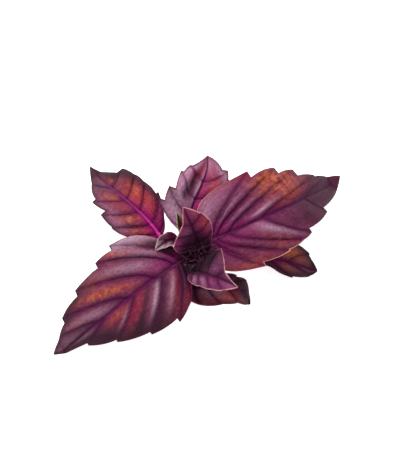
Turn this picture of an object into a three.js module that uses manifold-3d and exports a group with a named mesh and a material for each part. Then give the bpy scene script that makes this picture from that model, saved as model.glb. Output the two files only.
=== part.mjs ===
// The growing tip of a purple basil plant, lying on a surface: a square stem, three pairs of
// arching leaves, two young leaves and two small axil leaves round a closed shoot tip.
// Millimetres, +Z up, resting on z = 0. Positions are laid out from a point under the shoot tip
// and SHIFT moves them so that the bottom centre of the bounding box is the origin.
import * as THREE from "three";
import { mergeVertices } from "three/addons/utils/BufferGeometryUtils.js";
import Module from "manifold-3d";

const SHIFT = new THREE.Vector3(-0.52, -11.11, 0);
const BLADE = 0.7; // thickness of a leaf blade
const KEEL = 0.5; // how far the midrib stands below the blade
const CUT = 0.01; // length of the steep side of a tooth on the midrib, as a share of the leaf
const END_WIDTH = 0.45; // half width left at the two ends of a blade
const BELLY = 0.05; // how far the margin bows out between teeth, as a share of the stretch
const SWEEP = 1.6; // how strongly the side veins bend towards the leaf tip
const COLUMNS = [0, 0.15, 0.55, 1]; // grid lines from the midrib to the margin
const FLANK_ROWS = 3; // grid rows on the long side of a tooth
const END_ROWS = 5; // grid rows on the rounded base and on the pointed tip

// One row for each leaf. Pairs hold the left side, then the right, seen from the base.
// rib: Bezier points of the midrib. stalk: Bezier points of the petiole, with its radii.
// width: half width that the curl is measured over. veins: where the side veins leave the midrib.
// edge: where each vein meets the margin, as its share along the leaf, its half width and how far
// the margin steps in behind that tooth. lobe: the point that the rounded base bows towards.
// point: how far the margin bows out between the last tooth and the leaf tip.
// fold and curl (degrees, base to tip): how the half blade rises at the midrib and bends outwards.
// roll: how the blade turns round the midrib. wave: height, count and start of the margin ripple.
// puff: how far the blade swells between side veins.
const LEAVES = {
  leaf_front_left: {
    rib: [[-5.4, 1.9, 25.6], [-18, -6.8, 30], [-42, -23.5, 16], [-56.2, -28.2, -5.5]],
    stalk: [[-6.2, 2.1, 22.2], [-6.3, 2.1, 23.4], [-6.1, 2.1, 24.6], [-5.4, 1.9, 25.6]],
    radii: [0.9, 1],
    width: [17.8, 20],
    veins: [0.03, 0.07, 0.2, 0.385, 0.6],
    lobe: [[0.042, 10.5], [0.06, 20]],
    edge: [
      [[0.1, 15, 0], [0.215, 19, 1.7], [0.375, 16.4, 1.1], [0.55, 11, 1], [0.72, 4.7, 1]],
      [[0.3, 21.4, 2.4], [0.425, 19.3, 2.3], [0.625, 16, 2.6], [0.79, 10.4, 2.1], [0.88, 5.4, 0.1]],
    ],
    point: [-0.2, 0.25],
    fold: [[8, 5], [14, 5]],
    curl: [[-25, -10], [-30, -10]],
    roll: [0, 0, 0],
    wave: [[0.8, 2, 0.1], [0.8, 2, 0.6]],
    puff: 0.9,
  },
  leaf_back_right: {
    rib: [[4.9, 8.8, 27], [20, 15, 31], [41, 27.5, 22], [57.2, 46.5, -5.5]],
    stalk: [[-0.6, 2.6, 23.4], [1.2, 4.4, 25], [2.8, 6.6, 26.2], [4.9, 8.8, 27]],
    radii: [0.9, 1],
    width: [19, 16.5],
    veins: [0.01, 0.03, 0.1, 0.3, 0.6],
    lobe: [[-0.12, 20], [-0.12, 13]],
    edge: [
      [[0.355, 19.2, 2.9], [0.545, 16.4, 2.8], [0.67, 12.7, 3.1], [0.8, 7, 0.7], [0.9, 4.2, 0.1]],
      [[0.17, 18.2, 1.9], [0.32, 16.4, 0.5], [0.42, 15, 0], [0.48, 13.8, 1.8], [0.665, 9.2, 2.2]],
    ],
    point: [0.2, 1],
    fold: [[19, 8], [10, 5]],
    curl: [[-20, -10], [-20, -10]],
    roll: [0, 0, 0],
    wave: [[0.7, 2, 0.4], [0.7, 2, 0]],
    puff: 0.8,
  },
  leaf_back_left: {
    rib: [[-15, 15, 14], [-20, 23.5, 18], [-33, 33, 16.5], [-44.4, 50.5, -4.2]],
    stalk: [[-12.6, 0.9, 11], [-14, 4.4, 12], [-15.5, 9, 12.5], [-15, 15, 14]],
    radii: [1, 0.9],
    width: [12, 10.6],
    veins: [0.03, 0.12, 0.26, 0.41, 0.6],
    lobe: [[0.02, 7], [0.02, 3]],
    edge: [
      [[0.16, 10.6, 0], [0.3, 12.4, 0.4], [0.44, 11.5, 2.4], [0.6, 9.8, 1.8], [0.79, 4.4, 0.2]],
      [[0.1, 5.6, 0], [0.27, 11, 1.2], [0.44, 10.9, 0.2], [0.56, 10.5, 0.2], [0.7, 9, 2.7]],
    ],
    point: [0.1, -0.3],
    fold: [[12, 8], [12, 8]],
    curl: [[-22, -12], [-22, -12]],
    roll: [0, 0, 0],
    wave: [[0.5, 2, 0.3], [0.5, 2, 0.8]],
    puff: 0.7,
  },
  leaf_low_right: {
    rib: [[12, 10, 9], [22, 9, 12], [37, 7.3, 10], [46.8, 5.8, -3.5]],
    stalk: [[-7.6, 0.1, 10], [-2, 4, 8.8], [6, 8, 8], [12, 10, 9]],
    radii: [1, 0.9],
    width: [9, 5.6],
    veins: [0.05, 0.18, 0.38, 0.6],
    lobe: [[0.04, 6], [0.05, 1.5]],
    edge: [
      [[0.25, 7.5, 0], [0.45, 8.8, 0.3], [0.67, 9.2, 0.7], [0.84, 6.3, 0.9]],
      [[0.25, 2.2, 0], [0.42, 3.9, 0.2], [0.66, 6.1, 0.6], [0.88, 2.8, 0.3]],
    ],
    point: [0.3, 0.3],
    fold: [[10, 8], [10, 8]],
    curl: [[-20, -10], [-20, -10]],
    roll: [0, 0, 0],
    wave: [[0.4, 2, 0.2], [0.4, 2, 0.7]],
    puff: 0.6,
  },
  leaf_back: {
    rib: [[-1, 13, 18], [-9, 23, 21.5], [5, 31.6, 28], [3.2, 41.8, 31.5]],
    stalk: [[-6.2, 2.4, 16.4], [-5.5, 6, 16.4], [-3, 9.5, 16.6], [-1, 13, 18]],
    radii: [0.9, 0.9],
    width: [10.5, 11.5],
    veins: [0.05, 0.14, 0.3, 0.48, 0.7],
    lobe: [[0.04, 4], [0.05, 7]],
    edge: [
      [[0.16, 5, 0], [0.38, 13.6, 2.3], [0.52, 12.1, 2.8], [0.73, 9.5, 1], [0.86, 6.9, 1]],
      [[0.25, 8.5, 0], [0.45, 10, 0.2], [0.66, 10.1, 0.2], [0.8, 9.4, 0.3], [0.87, 8, 2.1]],
    ],
    point: [0.3, 0.4],
    fold: [[20, 25], [2, 6]],
    curl: [[-20, -25], [-20, -25]],
    roll: [12, 10, 4],
    wave: [[2.2, 2, 0.2], [0.4, 1, 0.5]],
    puff: 0.8,
  },
  leaf_front: {
    rib: [[-3, -5, 15], [5, -7.5, 20], [17.5, -3.5, 19], [20, -7.9, -4]],
    stalk: [[-5.4, -2.9, 15.2], [-5, -3.6, 15.2], [-4, -4.4, 15], [-3, -5, 15]],
    radii: [0.9, 0.9],
    width: [5.6, 7.4],
    veins: [0.05, 0.18, 0.38, 0.6],
    lobe: [[0.05, 3.5], [-0.04, 6.2]],
    edge: [
      [[0.25, 4.4, 0], [0.5, 5.5, 1], [0.68, 5.6, 0.2], [0.82, 3.9, 0.2]],
      [[0.12, 7.5, 0], [0.32, 7.3, 0.2], [0.55, 5.2, 0.2], [0.82, 2.2, 0.3]],
    ],
    point: [0.3, -0.2],
    fold: [[10, 5], [10, 5]],
    curl: [[-20, -10], [-20, -10]],
    roll: [0, 0, 0],
    wave: [[0.3, 2, 0], [0.6, 2, 0.4]],
    puff: 0.5,
  },
  young_leaf_back: {
    rib: [[-0.2, 3.2, 30.6], [-0.5, 8.4, 35], [-3.5, 11, 41], [-5.8, 15.5, 45]],
    stalk: [[-0.5, 2.6, 28.6], [-0.4, 2.8, 29.4], [-0.3, 3, 30], [-0.2, 3.2, 30.6]],
    radii: [0.6, 0.6],
    width: [9.3, 7],
    veins: [0.05, 0.18, 0.38, 0.6],
    lobe: [[-0.12, 6], [0.02, 4.5]],
    edge: [
      [[0.12, 8.3, 0], [0.3, 9.2, 0.2], [0.5, 7, 0.1], [0.7, 3, 0.1]],
      [[0.22, 5.5, 0], [0.4, 6.8, 0.1], [0.58, 7, 0.3], [0.76, 5.2, 0.4]],
    ],
    point: [0.1, 0.4],
    fold: [[20, 20], [10, 10]],
    curl: [[-20, -10], [-20, -10]],
    roll: [-10, -10, 0],
    wave: [[0.3, 2, 0], [0.3, 2, 0.5]],
    puff: 0.4,
  },
  young_leaf_front: {
    rib: [[-2.2, -3.7, 30.2], [2, -7.2, 35], [8, -9.5, 39], [14.1, -13.3, 39]],
    stalk: [[-1.2, -2.6, 28.2], [-1.4, -2.8, 28.9], [-1.8, -3.3, 29.5], [-2.2, -3.7, 30.2]],
    radii: [0.6, 0.6],
    width: [10, 6.5],
    veins: [0.05, 0.18, 0.38, 0.6],
    lobe: [[0.05, 2.5], [-0.12, 3.6]],
    edge: [
      [[0.2, 4.2, 0], [0.38, 7.4, 0.1], [0.6, 11.5, 0.3], [0.7, 3.3, 0.1]],
      [[0.06, 4.6, 0], [0.3, 4.9, 0.2], [0.55, 4.8, 0.2], [0.78, 3.8, 0.2]],
    ],
    point: [-0.5, 0.4],
    fold: [[25, 25], [0, 0]],
    curl: [[20, 10], [-20, -10]],
    roll: [10, 10, 0],
    wave: [[0.2, 2, 0], [0.2, 2, 0.5]],
    puff: 0.4,
  },
  axil_leaf_left: {
    rib: [[-8, 7.6, 28.4], [-10, 8.6, 31.2], [-13, 7.1, 31.2], [-16.2, 4.2, 29.5]],
    stalk: [[-3.2, 2.4, 26.8], [-4.6, 4.4, 27.6], [-6, 6.2, 27.6], [-8, 7.6, 28.4]],
    radii: [0.5, 0.5],
    width: [2.5, 2.6],
    veins: [0.2, 0.5],
    lobe: [[0.05, 2.6], [0.05, 3]],
    edge: [
      [[0.4, 2.9, 0.3], [0.7, 2.2, 0.3]],
      [[0.4, 3.4, 0.3], [0.7, 2.6, 0.3]],
    ],
    point: [0.1, 0.1],
    fold: [[20, 20], [20, 20]],
    curl: [[10, 10], [-10, -10]],
    roll: [0, 0, 0],
    wave: [[0.1, 1, 0], [0.1, 1, 0]],
    puff: 0.1,
  },
  axil_leaf_back: {
    rib: [[-5, 8, 30], [-6.5, 11, 33], [-7.5, 14, 36], [-8.2, 16.2, 38]],
    stalk: [[-2, 2.3, 27.6], [-2.4, 4, 27.6], [-3.6, 6, 28.6], [-5, 8, 30]],
    radii: [0.5, 0.5],
    width: [1.5, 2.5],
    veins: [0.2, 0.5],
    lobe: [[0.05, 1.3], [0.05, 2.2]],
    edge: [
      [[0.4, 1.6, 0.1], [0.7, 1.2, 0.1]],
      [[0.4, 2.5, 0.3], [0.7, 1.9, 0.3]],
    ],
    point: [0.1, 0.1],
    fold: [[20, 20], [20, 20]],
    curl: [[10, 10], [-10, -10]],
    roll: [0, 0, 0],
    wave: [[0.1, 1, 0], [0.1, 1, 0]],
    puff: 0.1,
  },
};

const STEM_PATH = [
  [-34, -11.7, 1.7], [-24, -7.2, 2.6], [-14, -3, 7], [-7, -0.5, 15], [-3, 0.8, 24], [-0.2, 0.1, 30.4],
];
const STEM_HALF = [1.9, 1.15]; // half width of the square stem, at the cut end and at the top
const STEM_NODES = [[0.63, 0.35], [0.75, 0.3], [0.87, 0.25]]; // where leaves join, extra half width
const STEM_CORNER = 0.45; // corner radius, as a share of the half width

// Tiny unopened leaves of the shoot tip: direction in degrees, height of the tip, how far it leans
// out, half width.
const BUD_SCALES = [
  [8, 4.4, 5.6, 2.2], [60, 6, 2.8, 1.7], [120, 5.4, 2.4, 1.7],
  [190, 4.8, 4.8, 2], [225, 4.8, 2, 1.4], [330, 5.4, 1.6, 1.2],
];
const BUD_FOOT = 31.2; // just clear of the top of the stem
const BUD_CORE = [1.4, 2.2]; // radius and half height of the closed core

const COLOURS = {
  leaf: [0x7a4a5e, 0.55],
  youngLeaf: [0x6a3450, 0.55],
  axilLeaf: [0x84696f, 0.6],
  stem: [0x5a2a45, 0.6],
  bud: [0x33202b, 0.8],
};

const wasm = await Module();
wasm.setup();

const clamp = THREE.MathUtils.clamp;
const lerp = THREE.MathUtils.lerp;
const radians = THREE.MathUtils.degToRad;

// Value at u in 0..1 of a list spread evenly from base to tip.
function along(list, u) {
  const x = clamp(u, 0, 1) * (list.length - 1);
  const i = Math.min(Math.floor(x), list.length - 2);
  return lerp(list[i], list[i + 1], x - i);
}

// A midrib: points and directions by distance along it, and the level sideways direction.
class Rib {
  constructor(points) {
    this.curve = new THREE.CubicBezierCurve3(...points.map((p) => new THREE.Vector3(...p)));
    this.curve.arcLengthDivisions = 200;
    this.length = this.curve.getLength();
    const [first, , , last] = points;
    this.side = new THREE.Vector3(first[1] - last[1], last[0] - first[0], 0).normalize();
  }

  at(distance) {
    const u = clamp(distance / this.length, 0, 1);
    const forward = this.curve.getTangentAt(u);
    const past = distance - u * this.length;
    const point = this.curve.getPointAt(u).addScaledVector(forward, past);
    const left = this.side.clone().addScaledVector(forward, -this.side.dot(forward)).normalize();
    const up = forward.clone().cross(left);
    return { point, left, up };
  }
}

// Point part of the way along a margin that bows towards a control point.
function bow(from, control, to, f) {
  return [0, 1].map((n) => lerp(lerp(from[n], control[n], f), lerp(control[n], to[n], f), f));
}

// Control point of a margin that bows out by belly between two points.
function bulged([t0, half0], [t1, half1], belly) {
  return [(t0 + t1) / 2, (half0 + half1) / 2 + 2 * belly];
}

// Grid rows: where each line leaves the midrib, where it meets each margin as a share along the
// leaf and a half width, and how far the blade swells there. A row runs along every side vein, so
// that teeth and veins agree.
function rowsOf(leaf, length) {
  const rows = [];
  const stretch = (from, to, controls, count, swells) => {
    for (let i = 0; i < count; i++) {
      const f = i / count;
      rows.push({
        start: lerp(from.start, to.start, f),
        ends: [0, 1].map((side) => bow(from.ends[side], controls[side], to.ends[side], f)),
        swell: swells ? 4 * f * (1 - f) : 0,
      });
    }
  };
  const controlsTo = (from, to, bellyOf) =>
    [0, 1].map((side) => bulged(from.ends[side], to.ends[side], bellyOf(side)));
  let here = { start: 0, ends: [[0, END_WIDTH], [0, END_WIDTH]] };
  leaf.veins.forEach((vein, k) => {
    const tip = { start: vein, ends: leaf.edge.map((side) => side[k].slice(0, 2)) };
    const notch = {
      start: vein + CUT,
      ends: leaf.edge.map((side) => [side[k][0], side[k][1] - side[k][2]]),
    };
    const belly = (side) => BELLY * length * (tip.ends[side][0] - here.ends[side][0]);
    if (k === 0) stretch(here, tip, leaf.lobe, END_ROWS, true);
    else stretch(here, tip, controlsTo(here, tip, belly), FLANK_ROWS, true);
    stretch(tip, notch, controlsTo(tip, notch, () => 0), 1, false);
    here = notch;
  });
  const end = { start: 1, ends: [[1, END_WIDTH], [1, END_WIDTH]], swell: 0 };
  stretch(here, end, controlsTo(here, end, (side) => leaf.point[side]), END_ROWS, true);
  rows.push(end);
  return rows;
}

// Point of the middle surface: s runs from 0 at the midrib to 1 at the margin, side is 0 or 1.
function surfacePoint(leaf, rib, row, side, s) {
  const width = leaf.width[side];
  const [end, half] = row.ends[side];
  const distance = lerp(row.start, end, s ** SWEEP) * rib.length;
  const out = half * s;
  const u = clamp(distance / rib.length, 0, 1);
  const fold = radians(along(leaf.fold[side], u));
  const curl = radians(along(leaf.curl[side], u));
  const [height, count, phase] = leaf.wave[side];
  const share = out / width;
  const across = (width / curl) * (Math.sin(fold + curl * share) - Math.sin(fold));
  const bend = (-width / curl) * (Math.cos(fold + curl * share) - Math.cos(fold));
  const ripple = height * share ** 2 * Math.sin(2 * Math.PI * (count * u + phase));
  const swell = leaf.puff * row.swell * 4 * s * (1 - s) * clamp(half / width, 0, 1);
  const roll = radians(along(leaf.roll, u));
  const frame = rib.at(distance);
  const left = frame.left.clone().multiplyScalar(Math.cos(roll)).addScaledVector(frame.up, Math.sin(roll));
  const up = frame.up.clone().multiplyScalar(Math.cos(roll)).addScaledVector(frame.left, -Math.sin(roll));
  return frame.point
    .addScaledVector(left, side === 0 ? across : -across)
    .addScaledVector(up, bend + ripple + swell);
}

// Rows of points from the right margin, over the midrib, to the left margin.
function middleSurface(leaf, rib, columns) {
  const mirrored = columns.slice(1).reverse();
  return rowsOf(leaf, rib.length).map((row) => [
    ...mirrored.map((s) => surfacePoint(leaf, rib, row, 1, s)),
    ...columns.map((s) => surfacePoint(leaf, rib, row, 0, s)),
  ]);
}

function gridNormal(grid, j, i) {
  const rows = grid.length - 1;
  const last = grid[0].length - 1;
  const forward = grid[Math.min(j + 1, rows)][i].clone().sub(grid[Math.max(j - 1, 0)][i]);
  const left = grid[j][Math.min(i + 1, last)].clone().sub(grid[j][Math.max(i - 1, 0)]);
  return forward.cross(left).normalize();
}

function solid(points, triangles) {
  const geometry = new THREE.BufferGeometry().setFromPoints(points).setIndex(triangles);
  const merged = mergeVertices(geometry, 1e-4);
  return new wasm.Manifold(
    new wasm.Mesh({
      numProp: 3,
      vertProperties: merged.attributes.position.array,
      triVerts: new Uint32Array(merged.index.array),
    }),
  );
}

// A closed sheet: two skins over the same grid, joined round the edge, kept above the surface
// that the sprig rests on.
function blade(leaf, rib, columns) {
  const grid = middleSurface(leaf, rib, columns);
  const rows = grid.length;
  const across = grid[0].length;
  const top = [];
  const bottom = [];
  grid.forEach((line, j) =>
    line.forEach((point, i) => {
      const normal = gridNormal(grid, j, i);
      const keel = i === (across - 1) / 2 ? KEEL * (1 - j / rows) : 0;
      const upper = point.clone().addScaledVector(normal, BLADE / 2);
      const lower = point.clone().addScaledVector(normal, -BLADE / 2 - keel);
      upper.z = Math.max(upper.z, BLADE);
      lower.z = Math.max(lower.z, 0);
      top.push(upper);
      bottom.push(lower);
    }),
  );
  const under = rows * across;
  const triangles = [];
  const quad = (a, b, c, d) => triangles.push(a, b, c, a, c, d);
  for (let j = 0; j + 1 < rows; j++) {
    for (let i = 0; i + 1 < across; i++) {
      const a = j * across + i;
      const b = a + across;
      triangles.push(a, b, b + 1, a, b + 1, a + 1);
      triangles.push(under + a, under + b + 1, under + b, under + a, under + a + 1, under + b + 1);
    }
    const right = j * across;
    const left = right + across - 1;
    quad(right + across, right, under + right, under + right + across);
    quad(left, left + across, under + left + across, under + left);
  }
  for (let i = 0; i + 1 < across; i++) {
    const end = (rows - 1) * across + i;
    quad(i, i + 1, under + i + 1, under + i);
    quad(end + 1, end, under + end, under + end + 1);
  }
  return solid([...top, ...bottom], triangles);
}

// A closed tube of given rings, each a list of the same number of points.
function tube(rings) {
  const sides = rings[0].length;
  const points = rings.flat();
  const triangles = [];
  for (let j = 0; j + 1 < rings.length; j++) {
    for (let i = 0; i < sides; i++) {
      const a = j * sides + i;
      const b = j * sides + ((i + 1) % sides);
      triangles.push(a, b, b + sides, a, b + sides, a + sides);
    }
  }
  const last = (rings.length - 1) * sides;
  for (let i = 1; i + 1 < sides; i++) {
    triangles.push(0, i + 1, i, last, last + i, last + i + 1);
  }
  return solid(points, triangles);
}

// Rings square to a curve. outlineAt(u) gives the section as [across, up] pairs.
function ringsAlong(curve, count, outlineAt) {
  const frames = curve.computeFrenetFrames(count, false);
  const rings = [];
  for (let j = 0; j <= count; j++) {
    const u = j / count;
    const centre = curve.getPointAt(u);
    rings.push(
      outlineAt(u).map(([x, y]) =>
        centre.clone().addScaledVector(frames.normals[j], x).addScaledVector(frames.binormals[j], y),
      ),
    );
  }
  return rings;
}

function circle(radius, sides) {
  return Array.from({ length: sides }, (_, i) => {
    const angle = (2 * Math.PI * i) / sides;
    return [radius * Math.cos(angle), radius * Math.sin(angle)];
  });
}

function roundedSquare(half, corner) {
  const section = [];
  const inner = half * (1 - corner);
  for (const [x, y, from] of [[1, 1, 0], [-1, 1, 90], [-1, -1, 180], [1, -1, 270]]) {
    for (const turn of [0, 45, 90]) {
      const angle = radians(from + turn);
      section.push([
        x * inner + half * corner * Math.cos(angle),
        y * inner + half * corner * Math.sin(angle),
      ]);
    }
  }
  return section;
}

// The petiole runs on under the blade and fades into the midrib.
function petiole(leaf, rib) {
  const stalk = new THREE.CubicBezierCurve3(...leaf.stalk.map((p) => new THREE.Vector3(...p)));
  const steps = clamp(Math.round(stalk.getLength() / 3), 2, 6);
  const under = [0.06, 0.14].map((u) => {
    const { point, up } = rib.at(u * rib.length);
    return point.addScaledVector(up, -leaf.radii[1] * 0.5);
  });
  const curve = new THREE.CatmullRomCurve3([...stalk.getPoints(steps), ...under]);
  const radiusAt = (u) => lerp(...leaf.radii, u) * Math.min(1, 0.4 + 3 * (1 - u));
  return tube(ringsAlong(curve, steps + 4, (u) => circle(radiusAt(u), 8)));
}

function leafSolid(leaf) {
  const columns = leaf.width[0] < 4 ? [0, 0.5, 1] : COLUMNS;
  const rib = new Rib(leaf.rib);
  return blade(leaf, rib, columns).add(petiole(leaf, rib));
}

function stemSolid() {
  const curve = new THREE.CatmullRomCurve3(STEM_PATH.map((p) => new THREE.Vector3(...p)));
  const halfAt = (u) =>
    STEM_NODES.reduce(
      (half, [place, extra]) => half + extra * Math.exp(-(((u - place) / 0.025) ** 2)),
      lerp(...STEM_HALF, u),
    );
  const rings = ringsAlong(curve, 36, (u) => roundedSquare(halfAt(u), STEM_CORNER));
  rings.flat().forEach((point) => (point.z = Math.max(point.z, 0)));
  return tube(rings);
}

// One unopened leaf of the shoot tip, standing from the core and leaning out at its end.
function budScale(direction, height, lean, half) {
  const at = (distance, z) => [
    distance * Math.cos(radians(direction)), distance * Math.sin(radians(direction)), BUD_FOOT + z,
  ];
  const margin = [[0.35, half, 0.06], [0.65, half * 0.76, 0.06]];
  const leaf = {
    rib: [at(0.5, 0.9), at(lean * 0.75, height * 0.4), at(lean * 0.85, height * 0.8), at(lean, height)],
    width: [half, half],
    veins: [0.2, 0.5],
    lobe: [[0.03, half * 0.82], [0.03, half * 0.82]],
    edge: [margin, margin],
    point: [0.1, 0.1],
    fold: [[25, 25], [25, 25]],
    curl: [[30, 20], [30, 20]],
    roll: [0, 0, 0],
    wave: [[0, 1, 0], [0, 1, 0]],
    puff: 0,
  };
  return blade(leaf, new Rib(leaf.rib), [0, 0.5, 1]);
}

function shootTipSolid() {
  const [radius, half] = BUD_CORE;
  const core = wasm.Manifold.sphere(1, 16).scale([radius, radius, half]).translate([0, 0, BUD_FOOT + half]);
  return BUD_SCALES.reduce((all, scale) => all.add(budScale(...scale)), core);
}

function meshOf(name, body, [colour, roughness]) {
  const { vertProperties, triVerts, numProp } = body.translate(SHIFT.toArray()).getMesh();
  const geometry = new THREE.BufferGeometry();
  const positions = [];
  for (let i = 0; i < vertProperties.length; i += numProp) {
    positions.push(vertProperties[i], vertProperties[i + 1], vertProperties[i + 2]);
  }
  geometry.setAttribute("position", new THREE.Float32BufferAttribute(positions, 3));
  geometry.setIndex([...triVerts]);
  geometry.computeVertexNormals();
  const material = new THREE.MeshStandardMaterial({ color: colour, roughness, metalness: 0 });
  const mesh = new THREE.Mesh(geometry, material);
  mesh.name = name;
  return mesh;
}

function colourFor(name) {
  if (name.startsWith("young")) return COLOURS.youngLeaf;
  return name.startsWith("axil") ? COLOURS.axilLeaf : COLOURS.leaf;
}

const sprig = new THREE.Group();
sprig.name = "purple_basil_sprig";
sprig.add(meshOf("stem", stemSolid(), COLOURS.stem));
for (const [name, leaf] of Object.entries(LEAVES)) {
  sprig.add(meshOf(name, leafSolid(leaf), colourFor(name)));
}
sprig.add(meshOf("shoot_tip", shootTipSolid(), COLOURS.bud));

export default sprig;
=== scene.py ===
"""The growing tip of a purple basil plant, lying on a pale surface.

Every leaf is one sheet with two skins over a fine grid. The rows of the grid follow the side veins, so
that veins, teeth, relief and colour agree. Lengths are millimetres from a point under the shoot tip, and
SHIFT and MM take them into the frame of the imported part.
"""

import math

import bpy
import numpy as np
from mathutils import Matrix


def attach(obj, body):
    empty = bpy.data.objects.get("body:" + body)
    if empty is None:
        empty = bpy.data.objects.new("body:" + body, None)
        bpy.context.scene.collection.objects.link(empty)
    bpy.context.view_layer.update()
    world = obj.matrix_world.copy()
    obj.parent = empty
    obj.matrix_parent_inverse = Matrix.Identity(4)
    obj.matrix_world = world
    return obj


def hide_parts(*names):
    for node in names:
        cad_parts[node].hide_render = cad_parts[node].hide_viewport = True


MM = 0.001
SHIFT = np.array([-0.52, -11.11, 0.0])
CUT = 0.01  # length of the steep side of a tooth on the midrib, as a share of the leaf
BASE_WIDTH = 0.45  # half width left at the base of a blade
TIP_WIDTH = 0.12  # half width left at the very tip
BELLY = 0.05  # how far the margin bows out between teeth, as a share of the stretch
SWEEP = 1.6  # how strongly the side veins bend towards the leaf tip
EARLY = (0.06, 0.15, 0.6)  # the share outwards and the shares along at which an early vein has moved fully
RIB_STEPS, VEIN_STEPS, SPLINE_STEPS = 401, 50, 40
HALF_BLADE = 0.28  # half the thickness of a blade beside its midrib
THICKEST = 1.15  # a vein at its base, next to its usual width
TAPER = (0.6, 0.8)  # how much of that a side vein and the midrib lose towards their ends
GROOVE = (0.45, 0.26)  # half width and depth of the groove over a side vein
CHANNEL = (0.75, 0.34)  # the same for the midrib
RAISED = (0.24, 0.5)  # how far a side vein and the midrib stand out underneath
NET = 1.7  # width of the small cells between the veins
PILLOW = 0.18  # height of those cells
UNEVEN = (0.35, 0.12)  # height of unevenness over about 7 and 3 millimetres
APART = (7, 20)  # how far the pattern of cells, and of the colours, moves from leaf to leaf
LOWEST = (0.35, 0.18)  # least height of the upper skin and of the rim over the surface
STALK_UNDER = ((0.05, 0.75), (0.1, 0.85), (0.17, 0.7))  # a petiole under the blade: share, depth in radii
STALK_RINGS = 30
STALK_START = 0.7  # how far a petiole runs back into the stem
STALK_LIFT = 0.3  # how far under the midrib it meets the blade
TUBE_SIDES = 24


def numbers(text):
    """Rows of numbers, from text with commas between the rows."""
    return [tuple(map(float, row.split())) for row in text.split(",")]


# What every leaf has where its own entry doesn't say otherwise.
USUAL = dict(
    radii=(0.9, 0.9), veins=(0.05, 0.18, 0.38, 0.6), curl=((-20, -10), (-20, -10)), roll=(0, 0, 0),
    margin=0.14, early=(0, 0),
)

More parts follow.
